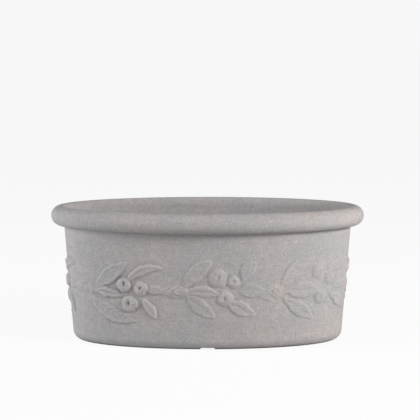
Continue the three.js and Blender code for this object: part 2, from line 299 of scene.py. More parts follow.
class Relief:
    """Height map of the garland. All its numbers are millimetres, and u runs round the wall."""

    def __init__(self, along, up, length):
        self.length = length
        u, v = np.meshgrid(along, up)
        self.u, self.v = u, v
        self.shift_u = self.wander(u, v, 3)
        self.shift_v = self.wander(u, v, 8)
        self.height = np.zeros_like(u)
        self.share = 1.0  # of the full height, for the shapes that are laid next

    def wander(self, u, v, seed):
        """A smooth wobble of about half a millimetre, so that no outline is ruled."""
        waves = 9
        size = 0.28
        rng = np.random.default_rng(seed)
        total = np.zeros_like(u)
        for _ in range(waves):
            turns = rng.integers(25, 90)
            rise = rng.uniform(-0.35, 0.35)
            total += np.sin(2 * np.pi * turns * u / self.length + rise * v + rng.uniform(0, 6.3))
        return total * size

    def patch(self, centre, reach):
        """The part of the map within reach of centre, and its coordinates from there."""
        du = (self.u[0] - centre[0] + self.length / 2) % self.length - self.length / 2
        columns = np.nonzero(np.abs(du) < reach)[0]
        rows = np.nonzero(np.abs(self.v[:, 0] - centre[1]) < reach)[0]
        place = np.ix_(rows, columns)
        return place, du[columns] + self.shift_u[place], self.v[place] - centre[1] + self.shift_v[place]

    def lay(self, place, outline, height, groove=0.25, reach=1.5):
        """Lays a shape over what is there. outline is the distance outside its edge, where a groove is cut.

        A fifth of what lies under the shape shows through it.
        """
        under = self.height[place]
        height = self.share * height
        cut = self.share * groove * np.exp(-((outline - 0.3) / reach) ** 2) * (outline > -reach)
        under = np.where(outline > 0, under - cut, under)
        self.height[place] = np.where(outline < 0, np.maximum(height + under * 0.2, under * 0.9), under)

    def leaf(
        self, base, tip, half, bow=0.0, rise=3.4, fat=0.42, cup=0.5, groove=0.8, ribs=1, hook=0.0, tilt=0.0
    ):
        """A leaf from base to tip. Its middle is pushed over by bow, and it is `half` wide on each side.

        fat is how far along it is widest, and hook turns its tip. cup dishes the face between its raised
        edges, and groove cuts the midrib. One rib means a line along each side and more mean slanting veins.
        tilt lifts the side to the left of its direction and sinks the other.
        """
        margin = 6
        edge_width = 2.6
        vein_half = 0.95
        rib_places = (0.36, 0.68)  # shares of the half width
        rib_half = 0.09
        base, tip = np.array(base, float), np.array(tip, float)
        run = tip - base
        size = np.hypot(*run)
        side = np.array([-run[1], run[0]]) / size
        # The middle line, and for each place the share along it and the distance across it
        t = np.linspace(0, 1, 60)
        line = np.outer(1 - t, base) + np.outer(t, tip)
        line += np.outer(bow * np.sin(np.pi * t) + hook * t ** 4, side)
        centre = line[len(t) // 2]
        place, du, dv = self.patch(centre, size / 2 + half + abs(bow) + margin)
        points = np.stack([du + centre[0], dv + centre[1]], -1)
        gap = points[:, :, None, :] - line[None, None]
        nearest = np.argmin((gap ** 2).sum(-1), -1)
        share = t[nearest]
        offset = np.take_along_axis(gap, nearest[:, :, None, None], 2)[:, :, 0]
        way = np.gradient(line, axis=0)
        way /= np.linalg.norm(way, axis=1)[:, None]
        across = offset[..., 1] * way[nearest][..., 0] - offset[..., 0] * way[nearest][..., 1]
        distance = np.hypot(offset[..., 0], offset[..., 1])
        # The outline, and the height of the face inside it
        power = np.log(0.5) / np.log(fat)
        width = half * np.sin(np.pi * share ** power) ** 0.85 + 0.3
        q = np.clip(distance / width, 0, 3)
        edge = smooth((1 - q) * width / edge_width)
        lobe = np.sin(np.pi * np.clip(q, 0, 1) ** 0.9)
        dish = np.clip(q, 0, 1) ** 2
        face = 0.62 + 0.38 * (cup * dish + (1 - cup) * lobe)
        body = rise * (0.5 + 0.5 * np.sin(np.pi * np.clip(share + 0.12, 0, 0.82)))
        body *= 1 + tilt * across / half
        # The midrib, and the lines scored beside it
        middle = groove * np.exp(-(across / vein_half) ** 2) * smooth(share * 9) * (1 - 0.55 * share)
        beside = np.zeros_like(q)
        if ribs == 1:
            fade = smooth(share * 7) * smooth((0.85 - share) * 2.5)
            lines = sum(np.exp(-((q - rib) / rib_half) ** 2) for rib in rib_places)
            beside = 0.75 * lines * fade
        elif ribs > 1:
            slant = share * ribs * 2 - np.abs(across) / half * 1.5
            fade = smooth((width - 4) / 5) * smooth((1 - q) * 3) * smooth(q * 4)
            beside = 0.55 * np.cos(2 * np.pi * slant) * fade
        self.lay(place, distance - width, edge * (body * face - middle - beside))

    def fruit(self, centre, radius, rise=6.0, eye=(0.15, 0.1), slit=0.0, dimple=3.4, rough=0.0):
        """A round fruit with a dimple at `eye`, a share of its radius from its centre.

        slit draws the dimple out upwards, and rough makes the skin uneven.
        """
        margin = 6
        dimple_half = 2.9
        ring_radius = 6.2  # of the low swelling round the dimple
        ring_half = 2.2
        place, du, dv = self.patch(np.array(centre, float), radius + margin)
        distance = np.hypot(du, dv)
        q = np.clip(distance / radius, 0, 1)
        dome = rise * np.sqrt(1 - q ** 2) ** 0.9
        eye_u, eye_v = du - eye[0] * radius, dv - eye[1] * radius
        from_eye = np.hypot(eye_u, eye_v / (1 + slit))
        dome -= 1.2 * dimple * np.exp(-(from_eye / dimple_half) ** 2)
        dome += 0.6 * np.exp(-((from_eye - ring_radius) / ring_half) ** 2)
        dome += rough * np.cos(1.05 * du + 0.5 * dv) * np.cos(0.95 * dv - 0.35 * du) * (1 - q)
        self.lay(place, distance - radius, dome, groove=0.35, reach=2.2)

    def stem(self, start, end, half, rise, bumps):
        """A round cord from start to end, with bumps along it."""
        margin = 4
        start, end = np.array(start, float), np.array(end, float)
        middle = (start + end) / 2
        run = end - start
        size = np.hypot(*run)
        place, du, dv = self.patch(middle, size / 2 + half + margin)
        along = (du * run[0] + dv * run[1]) / size / size + 0.5
        across = (dv * run[0] - du * run[1]) / size
        beyond = np.maximum(np.abs(along - 0.5) - 0.5, 0) * size
        distance = np.hypot(across, beyond)
        width = half * (1 + 0.2 * np.cos(2 * np.pi * (bumps * along + 0.05 * across)))
        q = np.clip(distance / width, 0, 1)
        height = rise * np.sqrt(1 - q ** 2)
        height *= 0.8 + 0.2 * np.cos(2 * np.pi * (bumps * along + 0.09 * across))
        self.lay(place, distance - width, height, groove=0.2)

    def wound_stem(self, start, end):
        """The tie between two sprays: a slim veined leaf that runs into a sheaf of short slanting blades."""
        leaf_half = 8.5
        sheaf_half = 12.2
        blade_pitch = 6.8
        vein_half = 1.5
        margin = 16
        start, end = np.array(start, float), np.array(end, float)
        middle = (start + end) / 2
        place, du, dv = self.patch(middle, np.hypot(*(end - start)) / 2 + margin)
        half_length = (end[0] - start[0]) / 2
        along = np.clip(du / half_length, -1, 1)
        dv = dv - (end[1] - start[1]) / 2 * along
        width = leaf_half + (sheaf_half - leaf_half) * smooth((along + 0.55) * 3)
        width = width * np.sqrt(np.clip(1 - np.abs(along) ** 5, 0.05, 1))
        outline = np.maximum(np.abs(dv) - width, np.abs(du) - half_length)
        q = np.clip(np.abs(dv) / width, 0, 1)
        sheaf = smooth((along + 0.6) * 4) * smooth((0.7 - along) * 3)
        blades = np.cos(2 * np.pi * (np.abs(dv) - 0.6 * du) / blade_pitch)
        blades *= 0.65 + 0.35 * np.cos(0.8 * du + 1.6 * dv)
        vein = np.exp(-(dv / vein_half) ** 2) * smooth((-0.35 - along) * 5)
        body = 2.7 * (1 - q ** 2) + (1.9 * blades * sheaf - 1.4 * vein) * smooth((1 - q) * 3)
        self.lay(place, outline, np.maximum(body, 0) * smooth((half_length - np.abs(du)) / 5), groove=0.1)


def left_spray(relief, start):
    """A spray with round dimpled fruit and an arched leaf over them."""
    def at(u, v):
        return (start + u, v)

    relief.share = 1.12
    relief.stem(at(-16, -2), at(12, -5), 7, 2.8, bumps=3)
    relief.leaf(at(3, -2), at(76, 52), 14.5, bow=2.5, rise=4.6, fat=0.5, cup=1.3, groove=1.5, tilt=-0.1)
    relief.leaf(at(-4, -19), at(90, -61), 15, bow=-9, rise=4.2, cup=1.2, groove=0.3, ribs=4, tilt=-0.3)
    relief.leaf(
        at(68, 13), at(140, 46), 10, bow=8, rise=4.8, fat=0.5, cup=0.6, groove=1.8, hook=-4, tilt=0.25
    )
    relief.leaf(at(99, -17), at(125, -56), 9.5, bow=3, rise=5.0, fat=0.5, cup=0.4)
    relief.leaf(at(106, 1), at(141, -1), 9.5, bow=1, rise=3.2, fat=0.5, cup=0.6)
    relief.leaf(at(-1, -6), at(64, -14), 10, bow=3, rise=4.6, fat=0.5, cup=0.1, groove=1.9, ribs=0)
    relief.fruit(at(65, 9), 13.5, eye=(0.05, 0.2), slit=1.1)
    relief.fruit(at(98, 3), 13.5, eye=(-0.05, 0.02), dimple=3.8)
    relief.fruit(at(75, -27), 16, eye=(-0.1, 0.1), slit=0.7, dimple=3.6)
    relief.wound_stem(at(133, -2), at(188, -1))


def centre_spray(relief, start):
    """A spray with a plump upper fruit and a long ribbed lower leaf."""
    def at(u, v):
        return (start + u, v)

    relief.share = 0.68
    relief.stem(at(-16, -1), at(12, -2), 7, 2.8, bumps=3)
    relief.leaf(at(-4, 5), at(49, 58), 15, bow=5, rise=6.0, fat=0.48, cup=0.9, groove=0.7, tilt=0.2)
    relief.leaf(at(-3, -4), at(54, -52), 15, bow=-1, rise=4.2, fat=0.52, cup=0.5, groove=1.3, tilt=0.1)
    relief.leaf(at(103, 16), at(131, 52), 13, bow=7, rise=3.6, fat=0.6, cup=0.6, groove=0.2, ribs=4, tilt=0.3)
    relief.leaf(at(75, -19), at(131, -47), 14.5, bow=-1, rise=4.8, fat=0.45, cup=0.3, groove=2.1, ribs=0)
    relief.leaf(at(97, -1), at(148, -3), 14.5, bow=3, rise=4.2, fat=0.45, cup=0.7, groove=1.3)
    relief.leaf(at(0, -3), at(64, -8), 11.5, bow=5, rise=5.0, fat=0.5, cup=0.3, groove=1.7, ribs=0, tilt=0.2)
    relief.fruit(at(59, 25), 18.5, rise=6.6, eye=(0.0, 0.05), slit=0.5, dimple=2.2, rough=0.9)
    relief.fruit(at(87, 18), 12, rise=5.8, eye=(0.0, 0.1), slit=0.3, dimple=2.8, rough=0.4)
    relief.fruit(at(73, -14), 15.5, rise=6.2, eye=(-0.15, 0.0), slit=0.3, rough=0.4)
    relief.wound_stem(at(138, -2), at(188, -2))


def right_spray(relief, start):
    """A spray with a broad middle leaf, smaller fruit and leaves that trail to the right."""
    def at(u, v):
        return (start + u, v)

    relief.share = 0.54
    relief.stem(at(-16, -2), at(12, -2), 7, 3.2, bumps=3)
    relief.leaf(at(-50, -11), at(-14, -25), 5, bow=4, rise=3.6, groove=0.0, ribs=0)
    relief.leaf(at(-3, 6), at(53, 59), 14.5, bow=6, rise=4.2, fat=0.48, cup=0.85, ribs=5, tilt=0.3)
    relief.leaf(at(-3, -14), at(66, -58), 14.5, bow=0, rise=5.6, fat=0.55, cup=0.2, groove=1.2)
    relief.leaf(at(86, 24), at(158, 46), 12, bow=8, rise=5.0, fat=0.5, cup=0.6, ribs=4)
    relief.leaf(at(150, 21), at(226, 40), 12.5, bow=5, rise=10.0, fat=0.5, cup=0.4)
    relief.leaf(at(152, -10), at(224, -30), 11, bow=3, rise=6.0, fat=0.5, cup=0.4)
    relief.leaf(at(100, -14), at(150, -48), 12, bow=3, rise=7.0, fat=0.48, cup=0.5)
    relief.leaf(at(110, 0), at(148, 0), 9, bow=3, rise=4.6)
    relief.leaf(at(-5, -2), at(77, -6), 16.5, bow=2, rise=5.4, fat=0.55, cup=0.4, groove=2.0)
    relief.fruit(at(70, 30), 13, rise=5.0, eye=(0.1, 0.1), dimple=1.8, rough=0.6)
    relief.fruit(at(99, 15), 12, rise=5.2, eye=(0.0, 0.1), dimple=1.8, rough=0.6)
    relief.fruit(at(79, -18), 14, rise=5.6, eye=(-0.1, -0.1), dimple=1.8, slit=0.3)
    relief.wound_stem(at(138, -1), at(188, -2))


def blur(values, sigma, axis, wrap):
    """Gaussian blur along one axis, sigma in samples."""
    reach = int(3 * sigma + 1)
    weights = np.exp(-0.5 * (np.arange(-reach, reach + 1) / sigma) ** 2)
    weights /= weights.sum()
    pads = [(0, 0), (0, 0)]
    pads[axis] = (reach, reach)
    wide = np.pad(values, pads, mode="wrap" if wrap else "edge")
    return np.apply_along_axis(lambda row: np.convolve(row, weights, mode="valid"), axis, wide)


def garland_heights(along, up, length):
    """The garland over the whole band, and how hollow or ridged it is at each place, in metres and -1..1.

    A place is as hollow or ridged as it lies under or over the mean height round it, in millimetres.
    """
    relief = Relief(along / MM, up / MM, length / MM)
    pitch = length / MM / SPRAYS
    kinds = [centre_spray, right_spray, left_spray, centre_spray, right_spray, left_spray, left_spray]
    for number, kind in enumerate(kinds):
        kind(relief, GARLAND_SHIFT / MM + number * pitch)
    column_mm = length / MM / len(along)
    row_mm = (up[1] - up[0]) / MM
    soft = RELIEF * blur(blur(relief.height, SOFTNESS / column_mm, 1, True), SOFTNESS / row_mm, 0, False)
    wide = blur(blur(soft, SURROUND / column_mm, 1, True), SURROUND / row_mm, 0, False)
    crest = np.clip(soft - wide, -1, 1)
    return soft * MM, crest


# --- The tub's mesh ---------------------------------------------------------------------------------


def arc(centre, radii, start, end, steps):
    """(half length, height) points on an arc of the section. Angles are degrees from outward."""
    angles = np.radians(np.linspace(start, end, steps + 1))
    return [(centre[0] + radii[0] * math.cos(a), centre[1] + radii[1] * math.sin(a)) for a in angles]


def corner(centre, radius, start, end, steps):
    """(half length, height) points on a round arc of the section."""
    return arc(centre, (radius, radius), start, end, steps)


def column_angles():
    """Angles that share the wall's outline evenly, their places along it, and its length.

    They start at the middle of the front. The outline is measured by short straight steps.
    """
    measuring_steps = 40000
    half_length = wall_radius(GARLAND_HEIGHT)
    half_width = half_length - OVAL_DIFFERENCE
    t = np.linspace(0, 2 * np.pi, measuring_steps + 1)
    x, y = half_length * np.sin(t), -half_width * np.cos(t)
    reach = np.concatenate([[0], np.cumsum(np.hypot(np.diff(x), np.diff(y)))])
    even = np.arange(COLUMNS) / COLUMNS * reach[-1]
    return np.interp(even, reach, t), even, reach[-1]


def ring_points(r, z, angles, proud=0.0):
    """Points of one oval ring, pushed out by proud."""
    half_width = r - OVAL_DIFFERENCE
    sin, cos = np.sin(angles), np.cos(angles)
    normal = np.stack([sin * half_width, -cos * r], -1)
    normal /= np.linalg.norm(normal, axis=1)[:, None]
    flat = np.stack([r * sin, -half_width * cos], -1) + normal * np.asarray(proud).reshape(-1, 1)
    return np.column_stack([flat, np.full(len(angles), z)])


def cut_notch(points):
    """Lifts the foot over the drainage notch at the front and the back."""
    x = np.abs(points[:, 0])
    top = NOTCH_HEIGHT * np.clip((NOTCH_HALF - x) / (NOTCH_HALF - NOTCH_TOP_HALF), 0, 1)
    points[:, 2] = np.maximum(points[:, 2], top)
    return points


def fine_section():
    """(half length, height) rows of the outer face from the foot to inside the curl."""
    rows = corner((FOOT_OUTER, FOOT_ROUND), FOOT_ROUND, -90, 0, 22)
    rows = [(FOOT_OUTER - FOOT_FLAT, 0.0)] + rows
    rows += [(wall_radius(z), z) for z in np.linspace(FOOT_ROUND, BAND_LOW, 11)[1:]]
    band = int(round((BAND_HIGH - BAND_LOW) / BAND_STEP))
    rows += [(wall_radius(z), z) for z in np.linspace(BAND_LOW, BAND_HIGH, band + 1)[1:]]
    rows += [(wall_radius(z), z) for z in np.linspace(BAND_HIGH, WALL_TOP + CURL_ROWS, 17)[1:]]
    return rows


def curl_section():
    """Rows from inside the curl, round the roll, down the inner wall to the edge of the floor."""
    roll = (HALF_LENGTH - RIM_RADIUS, RIM_HEIGHT)
    bore = RIM_RADIUS - SKIN
    lip_end = wall_radius(WALL_TOP) + CURL_SLIT
    lip = -math.degrees(math.acos((lip_end - roll[0]) / RIM_RADIUS))
    inner_lip = -math.degrees(math.acos((lip_end - roll[0]) / bore))
    inner_top = wall_radius(RIM_HEIGHT) - SKIN
    bend = FLOOR_TOP + INNER_ROUND
    bend_r = wall_radius(bend) - SKIN - INNER_ROUND
    rows = [(wall_radius(RIM_HEIGHT), RIM_HEIGHT)]
    rows += corner(roll, bore, 90, inner_lip, 14)
    rows += [(lip_end - LIP_INSET, RIM_HEIGHT - RIM_RADIUS + height) for height in (LIP_HIGH, LIP_LOW)]
    rows += corner(roll, RIM_RADIUS, lip + LIP_CORNER, 90, 30)
    rows += arc(roll, (roll[0] - inner_top, RIM_RADIUS), 90, 180, 12)[1:]
    rows += [(wall_radius(z) - SKIN, z) for z in np.linspace(RIM_HEIGHT, bend, 24)[1:-1]]
    rows += corner((bend_r, bend), INNER_ROUND, 0, -90, 9)
    return rows


def foot_section():
    """Rows from the ground ring inwards to the edge of the raised underside."""
    return [
        (FOOT_INNER + FOOT_CHAMFER, 0.0),
        (FOOT_INNER, FOOT_EASE),
        (FOOT_INNER - FOOT_STEP, UNDERSIDE - FOOT_EASE),
        (FOOT_INNER - FOOT_STEP - FOOT_CHAMFER, UNDERSIDE),
    ]


def inside_loop(point, loop):
    """True where a point lies inside a closed loop of points."""
    x, y = point
    found = False
    for (ax, ay), (bx, by) in zip(loop, loop[1:] + loop[:1]):
        if (ay > y) != (by > y) and x < (bx - ax) * (y - ay) / (by - ay) + ax:
            found = not found
    return found


def flat_sheet(outer, holes, z, upward):
    """Triangles of a level sheet inside one loop of points and outside the others."""
    loops = [outer] + holes
    flat = [Vector((p[0], p[1])) for loop in loops for p in loop]
    edges, start = [], 0
    for loop in loops:
        edges += [(start + i, start + (i + 1) % len(loop)) for i in range(len(loop))]
        start += len(loop)
    verts, _, faces, _, _, _ = delaunay_2d_cdt(flat, edges, [], 1, SAME_POINT / 10)
    spans = [(min(x for x, _ in hole), max(x for x, _ in hole), hole) for hole in holes]
    kept = []
    for face in faces:
        middle = np.mean([verts[i][:] for i in face], axis=0)
        if any(low < middle[0] < high and inside_loop(middle, hole) for low, high, hole in spans):
            continue
        a, b, c = (verts[i] for i in face[:3])
        turns_left = (b - a).cross(c - a) > 0
        kept.append(face if turns_left == upward else face[::-1])
    return [(v.x, v.y, z) for v in verts], kept


def circle(centre, radius, steps):
    """Points of a circle, anticlockwise."""
    angles = np.linspace(0, 2 * np.pi, steps, endpoint=False)
    return [(centre[0] + radius * math.cos(a), centre[1] + radius * math.sin(a)) for a in angles]


def drain_places():
    """Name and centre of each drain hole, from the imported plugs."""
    places = {}
    for node in sorted(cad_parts):
        if node.startswith("drain_plug_"):
            low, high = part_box(node)
            places[node.removeprefix("drain_plug_")] = ((low[0] + high[0]) / 2, (low[1] + high[1]) / 2)
    return places


class Body:
    """One mesh, built ring by ring. Each vertex has a `crest`, from -1 in a hollow to 1 on a ridge.

    At the tub's foot the crest goes down below that of any hollow instead, and a contact shadow is painted
    dark into the stone there.
    """

    def __init__(self):
        self.verts, self.faces, self.crests = [], [], []

    def ring(self, points, crest=0.0):
        """Adds a closed ring of points. Returns the number of its first vertex and how many it has."""
        start, count = len(self.verts), len(points)
        self.verts.extend(tuple(map(float, point)) for point in points)
        self.crests.extend(np.broadcast_to(crest, count))
        return start, count

    def bridge(self, lower, upper):
        """Faces between two rings of one count.

        Seen from outside, both rings run to the right, and upper lies above lower.
        """
        count = lower[1]
        for i in range(count):
            j = (i + 1) % count
            self.faces.append((lower[0] + i, lower[0] + j, upper[0] + j, upper[0] + i))

    def stack(self, rings):
        """Faces between each ring and the next, from the lowest up."""
        for lower, upper in zip(rings, rings[1:]):
            self.bridge(lower, upper)

    def narrow(self, fine_ring, coarse_ring, coarse_below):
        """Joins a fine ring to one with a quarter of its columns, above it unless coarse_below is true."""
        for k in range(coarse_ring[1]):
            a, b = coarse_ring[0] + k, coarse_ring[0] + (k + 1) % coarse_ring[1]
            f = [fine_ring[0] + (COARSE * k + i) % fine_ring[1] for i in range(COARSE + 1)]
            for face in ((a, f[0], f[1]), (a, f[1], f[2]), (a, f[2], b), (b, f[2], f[3]), (b, f[3], f[4])):
                self.faces.append(face[::-1] if coarse_below else face)

    def sheet(self, outer, holes, z, upward):
        """A level sheet inside one loop of points and outside the other loops."""
        verts, faces = flat_sheet(outer, holes, z, upward)
        start = len(self.verts)
        self.verts.extend(verts)
        self.crests.extend([0.0] * len(verts))
        self.faces.extend(tuple(start + i for i in face) for face in faces)

    def lathe(self, centre, profile, steps, flutes=0.0, fluted=(0, 0)):
        """Turns (radius, height) points round a vertical axis, going up the outside. A radius of 0 closes it.

        Rows from fluted[0] to fluted[1] are cut with flutes. The sharper an edge is, the paler it is painted,
        part wear and part painted highlight.
        """
        angles = np.linspace(0, 2 * np.pi, steps, endpoint=False)
        wave = flutes * (1 - np.cos(FLUTE_COUNT * angles)) / 2
        way = np.diff(np.array(profile), axis=0)
        way /= np.linalg.norm(way, axis=1)[:, None]
        turn = np.cross(way[:-1], way[1:])
        crests = [0.0, *np.clip(WEAR_AND_HIGHLIGHT_PER_TURN * turn, 0, 1), 0.0]
        rings = []
        for row, (radius, z) in enumerate(profile):
            reach = radius - wave * (fluted[0] <= row <= fluted[1])
            x = centre[0] + reach * np.cos(angles)
            y = centre[1] + reach * np.sin(angles)
            rings.append(self.ring(np.column_stack([x, y, np.full(steps, z)]), crests[row]))
        self.stack(rings)
        return rings

    def mesh(self, name, sharp_degrees=50):
        """The finished mesh, with doubled points joined and its flat and round faces shaded apart."""
        mesh = bpy.data.meshes.new(name)
        mesh.from_pydata(self.verts, [], self.faces)
        attribute = mesh.attributes.new("crest", "FLOAT", "POINT")
        attribute.data.foreach_set("value", np.array(self.crests, dtype=np.float32))
        shape = bmesh.new()
        shape.from_mesh(mesh)
        bmesh.ops.remove_doubles(shape, verts=shape.verts, dist=SAME_POINT)
        bmesh.ops.dissolve_degenerate(shape, edges=shape.edges, dist=SAME_POINT / 10)
        shape.to_mesh(mesh)
        shape.free()
        mesh.shade_smooth()
        mesh.set_sharp_from_angle(angle=math.radians(sharp_degrees))
        normals = np.empty(3 * len(mesh.polygons), dtype=np.float32)
        mesh.polygons.foreach_get("normal", normals)
        mesh.polygons.foreach_set("use_smooth", np.abs(normals[2::3]) < LEVEL)
        return mesh


def build_tub():
    """One closed mesh: a fine outer face with the garland, a coarser rim and inside, and a drilled floor."""
    angles, along, length = column_angles()
    fine = fine_section()
    heights = np.array([z for _, z in fine])
    in_band = np.nonzero((heights >= BAND_LOW - SAME_POINT) & (heights <= BAND_HIGH + SAME_POINT))[0]
    proud, crest = garland_heights(along, heights[in_band] - GARLAND_HEIGHT, length)
    tub = Body()
    wall = []
    for row, (r, z) in enumerate(fine):
        if row in in_band:
            points = ring_points(r, z, angles, proud[row - in_band[0]])
            wall.append(tub.ring(points, crest[row - in_band[0]]))
        else:
            # painted contact shadow: the crest sinks towards the foot, and the stone is painted dark there
            foot_shadow = FOOT_SHADOW_CREST * smooth(1 - z / FOOT_SHADOW_HEIGHT)
            wall.append(tub.ring(cut_notch(ring_points(r, z, angles)), foot_shadow))
    tub.stack(wall)
    coarse = angles[::COARSE]
    inside = [tub.ring(ring_points(r, z, coarse)) for r, z in curl_section()]
    tub.narrow(wall[-1], inside[0], coarse_below=False)
    tub.stack(inside)
    under = [tub.ring(cut_notch(ring_points(r, z, coarse))) for r, z in foot_section()]
    tub.narrow(wall[0], under[0], coarse_below=True)
    tub.stack(under[::-1])

    holes = [circle(place, DRAIN_RADIUS, HOLE_STEPS) for place in drain_places().values()]
    for ring, z, upward in ((inside[-1], FLOOR_TOP, True), (under[-1], UNDERSIDE, False)):
        outer = [tub.verts[ring[0] + i][:2] for i in range(ring[1])]
        tub.sheet(outer, holes, z, upward)
    for hole in holes:
        low = tub.ring([(x, y, UNDERSIDE) for x, y in hole])
        high = tub.ring([(x, y, FLOOR_TOP) for x, y in hole])
        tub.bridge(high, low)
    return tub.mesh("stone_tub")


# --- Pieces that lift out ---------------------------------------------------------------------------


def rounded(low, high, size):
    """(shrink, height) rows up the side of a plate whose upper and lower edges are rounded."""
    angles = np.radians(np.linspace(0, 90, 4))
    lower = [(size * (1 - math.sin(a)), low + size * (1 - math.cos(a))) for a in angles]
    return lower + [(shrink, high - (z - low)) for shrink, z in lower[::-1]]


def slot_loop(x, y, grow):
    """Outline of a round-ended slot along X, made larger all round by grow."""
    radius, reach = SLOT_WIDTH / 2 + grow, (SLOT_LENGTH - SLOT_WIDTH) / 2
    right = np.radians(np.linspace(-90, 90, 11))
    loop = [(x + reach + radius * math.cos(a), y + radius * math.sin(a)) for a in right]
    return loop + [(x - reach - radius * math.cos(a), y - radius * math.sin(a)) for a in right]


def slot_places(half_length, half_width):
    """Centres of the grid's slots: a regular field, left out at the border, the legs and the finger holes."""
    columns, rows = int(half_length / SLOT_PITCH_X), int(half_width / SLOT_PITCH_Y)
    places = []
    for row in range(-rows, rows + 1):
        for column in range(-columns, columns + 1):
            x, y = column * SLOT_PITCH_X, row * SLOT_PITCH_Y
            reach_x = (abs(x) + SLOT_LENGTH / 2 - SLOT_WIDTH / 4) / (half_length - SLOT_MARGIN)
            reach_y = (abs(y) + SLOT_WIDTH / 2) / (half_width - SLOT_MARGIN)
            taken = any(math.hypot(x - px, y - py) < SLOT_WIDTH / 2 for px, py in LEGS + FINGER_HOLES)
            if reach_x ** 2 + reach_y ** 2 < 1 and not taken:
                places.append((x, y))
    return places


def leg_section(foot, plate):
    """(radius, height) rows of a leg, from the middle of its foot up into the plate."""
    rows = [(0, foot)]
    rows += corner((LEG_FOOT_RADIUS - LEG_FOOT_ROUND, foot + LEG_FOOT_ROUND), LEG_FOOT_ROUND, -90, 0, 3)
    rows += corner((LEG_TOP_RADIUS + LEG_FILLET, plate - LEG_FILLET), LEG_FILLET, 180, 90, 5)
    rows += [(LEG_TOP_RADIUS, plate + LEG_SINK), (0, plate + LEG_SINK)]
    return rows


def build_grid():
    """The lift-out drainage grid: a slotted plate with a raised border, on tapered legs."""
    low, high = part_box("drainage_grid")
    half_length, half_width, top = high[0], high[1], high[2]
    field = top - GRID_RECESS
    base = top - GRID_PLATE
    worn_and_highlit_rows = (1, 2, 5, 6)  # of a cut's eight rows, those within its two rounded edges, painted paler as wear and painted highlight
    grid = Body()
    cuts = [lambda grow, at=place: slot_loop(*at, grow) for place in slot_places(half_length, half_width)]
    cuts += [lambda grow, at=place: circle(at, FINGER_RADIUS + grow, HOLE_STEPS) for place in FINGER_HOLES]
    for cut in cuts:
        rows = rounded(base, field, GRID_EDGE)
        loops = [[(x, y, z) for x, y in cut(shrink)] for shrink, z in rows]
        rings = [grid.ring(loop, EDGE_WEAR_AND_HIGHLIGHT if row in worn_and_highlit_rows else 0.0) for row, loop in enumerate(loops)]
        grid.stack(rings[::-1])

    def border(shrink, z, crest=0.0):
        """A ring of the plate's oval outline, drawn in by shrink."""
        angles = np.linspace(0, 2 * np.pi, GRID_STEPS, endpoint=False)
        x, y = (half_length - shrink) * np.cos(angles), (half_width - shrink) * np.sin(angles)
        return grid.ring(np.column_stack([x, y, np.full(GRID_STEPS, z)]), crest)

    underneath, *others = rounded(base, top, GRID_EDGE)
    side = [border(*underneath)] + [border(shrink, z, EDGE_WEAR_AND_HIGHLIGHT) for shrink, z in others]
    lip = [border(GRID_BORDER, top, EDGE_WEAR_AND_HIGHLIGHT), border(GRID_BORDER + GRID_RECESS, field)]
    grid.stack(side + lip)
    for ring, z, upward in ((lip[-1], field, True), (side[0], base, False)):
        outer = [grid.verts[ring[0] + i][:2] for i in range(ring[1])]
        grid.sheet(outer, [cut(GRID_EDGE) for cut in cuts], z, upward)
    for place in LEGS:
        grid.lathe(place, leg_section(low[2], base), LEG_STEPS)
    return grid.mesh("drainage_grid_moulding", 35)


def plug_section(flange, base, top):
    """(radius, height) rows of a plug, from the middle of its foot to the middle of its knob.

    The first and the last row of the grip come with them.
    """
    seat = base + PLUG_SEAT
    deck = seat + FLANGE_THICK
    knob = top - KNOB_ROUND
    groove = STEM_RADIUS - STEM_GROOVE_DEPTH
    groove_low, groove_high = base + STEM_GROOVE_LOW, base + STEM_GROOVE_HIGH
    rows = [(0, base + STEM_HOLLOW), (STEM_RADIUS - 2 * STEM_ROUND, base + STEM_HOLLOW)]
    rows += corner((STEM_RADIUS - STEM_ROUND, base + STEM_ROUND), STEM_ROUND, -110, 0, 6)
    rows += [(STEM_RADIUS, groove_low), (groove, groove_low + STEM_GROOVE_DEPTH)]
    rows += [(groove, groove_high - STEM_GROOVE_DEPTH), (STEM_RADIUS, groove_high), (STEM_RADIUS, seat)]
    rows += corner((flange - FLANGE_LOWER_ROUND, seat + FLANGE_LOWER_ROUND), FLANGE_LOWER_ROUND, -90, 0, 3)
    rows += corner((flange - FLANGE_UPPER_ROUND, deck - FLANGE_UPPER_ROUND), FLANGE_UPPER_ROUND, 0, 90, 5)
    ring = deck - FLANGE_RING_DEPTH
    rows += [(FLANGE_RING_OUTER, deck), (FLANGE_RING_OUTER - FLANGE_RING_DEPTH, ring)]
    rows += [(FLANGE_RING_INNER + FLANGE_RING_DEPTH, ring), (FLANGE_RING_INNER, deck)]
    rows += corner((NECK_RADIUS + NECK_ROUND, deck + NECK_ROUND), NECK_ROUND, 270, 180, 5)
    first = len(rows)
    flare = (KNOB_RADIUS - NECK_RADIUS, KNOB_FLARE)
    rows += arc((KNOB_RADIUS, knob - KNOB_ROUND - KNOB_FLARE), flare, 180, 95, 6)
    rows += corner((KNOB_RADIUS - KNOB_ROUND, knob), KNOB_ROUND, 0, 75, 5)
    last = len(rows) - 1
    rows += [(KNOB_DIMPLE_RADIUS + KNOB_DIMPLE_DEPTH, top), (KNOB_DIMPLE_RADIUS, top)]
    rows += arc((0, top), (KNOB_DIMPLE_RADIUS, KNOB_DIMPLE_DEPTH), -15, -90, 4)[:-1]
    rows += [(0, top - KNOB_DIMPLE_DEPTH)]
    return rows, (first, last)


def build_plug(node):
    """A drain plug: a stem with a lead-in, a domed flange with a moulded ring, and a fluted knob."""
    low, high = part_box(node)
    centre = ((low[0] + high[0]) / 2, (low[1] + high[1]) / 2)
    rows, grip = plug_section((high[0] - low[0]) / 2, low[2], high[2])
    plug = Body()
    plug.lathe(centre, rows, PLUG_STEPS, flutes=FLUTE_DEPTH, fluted=grip)
    return plug.mesh(node + "_moulding", 35)


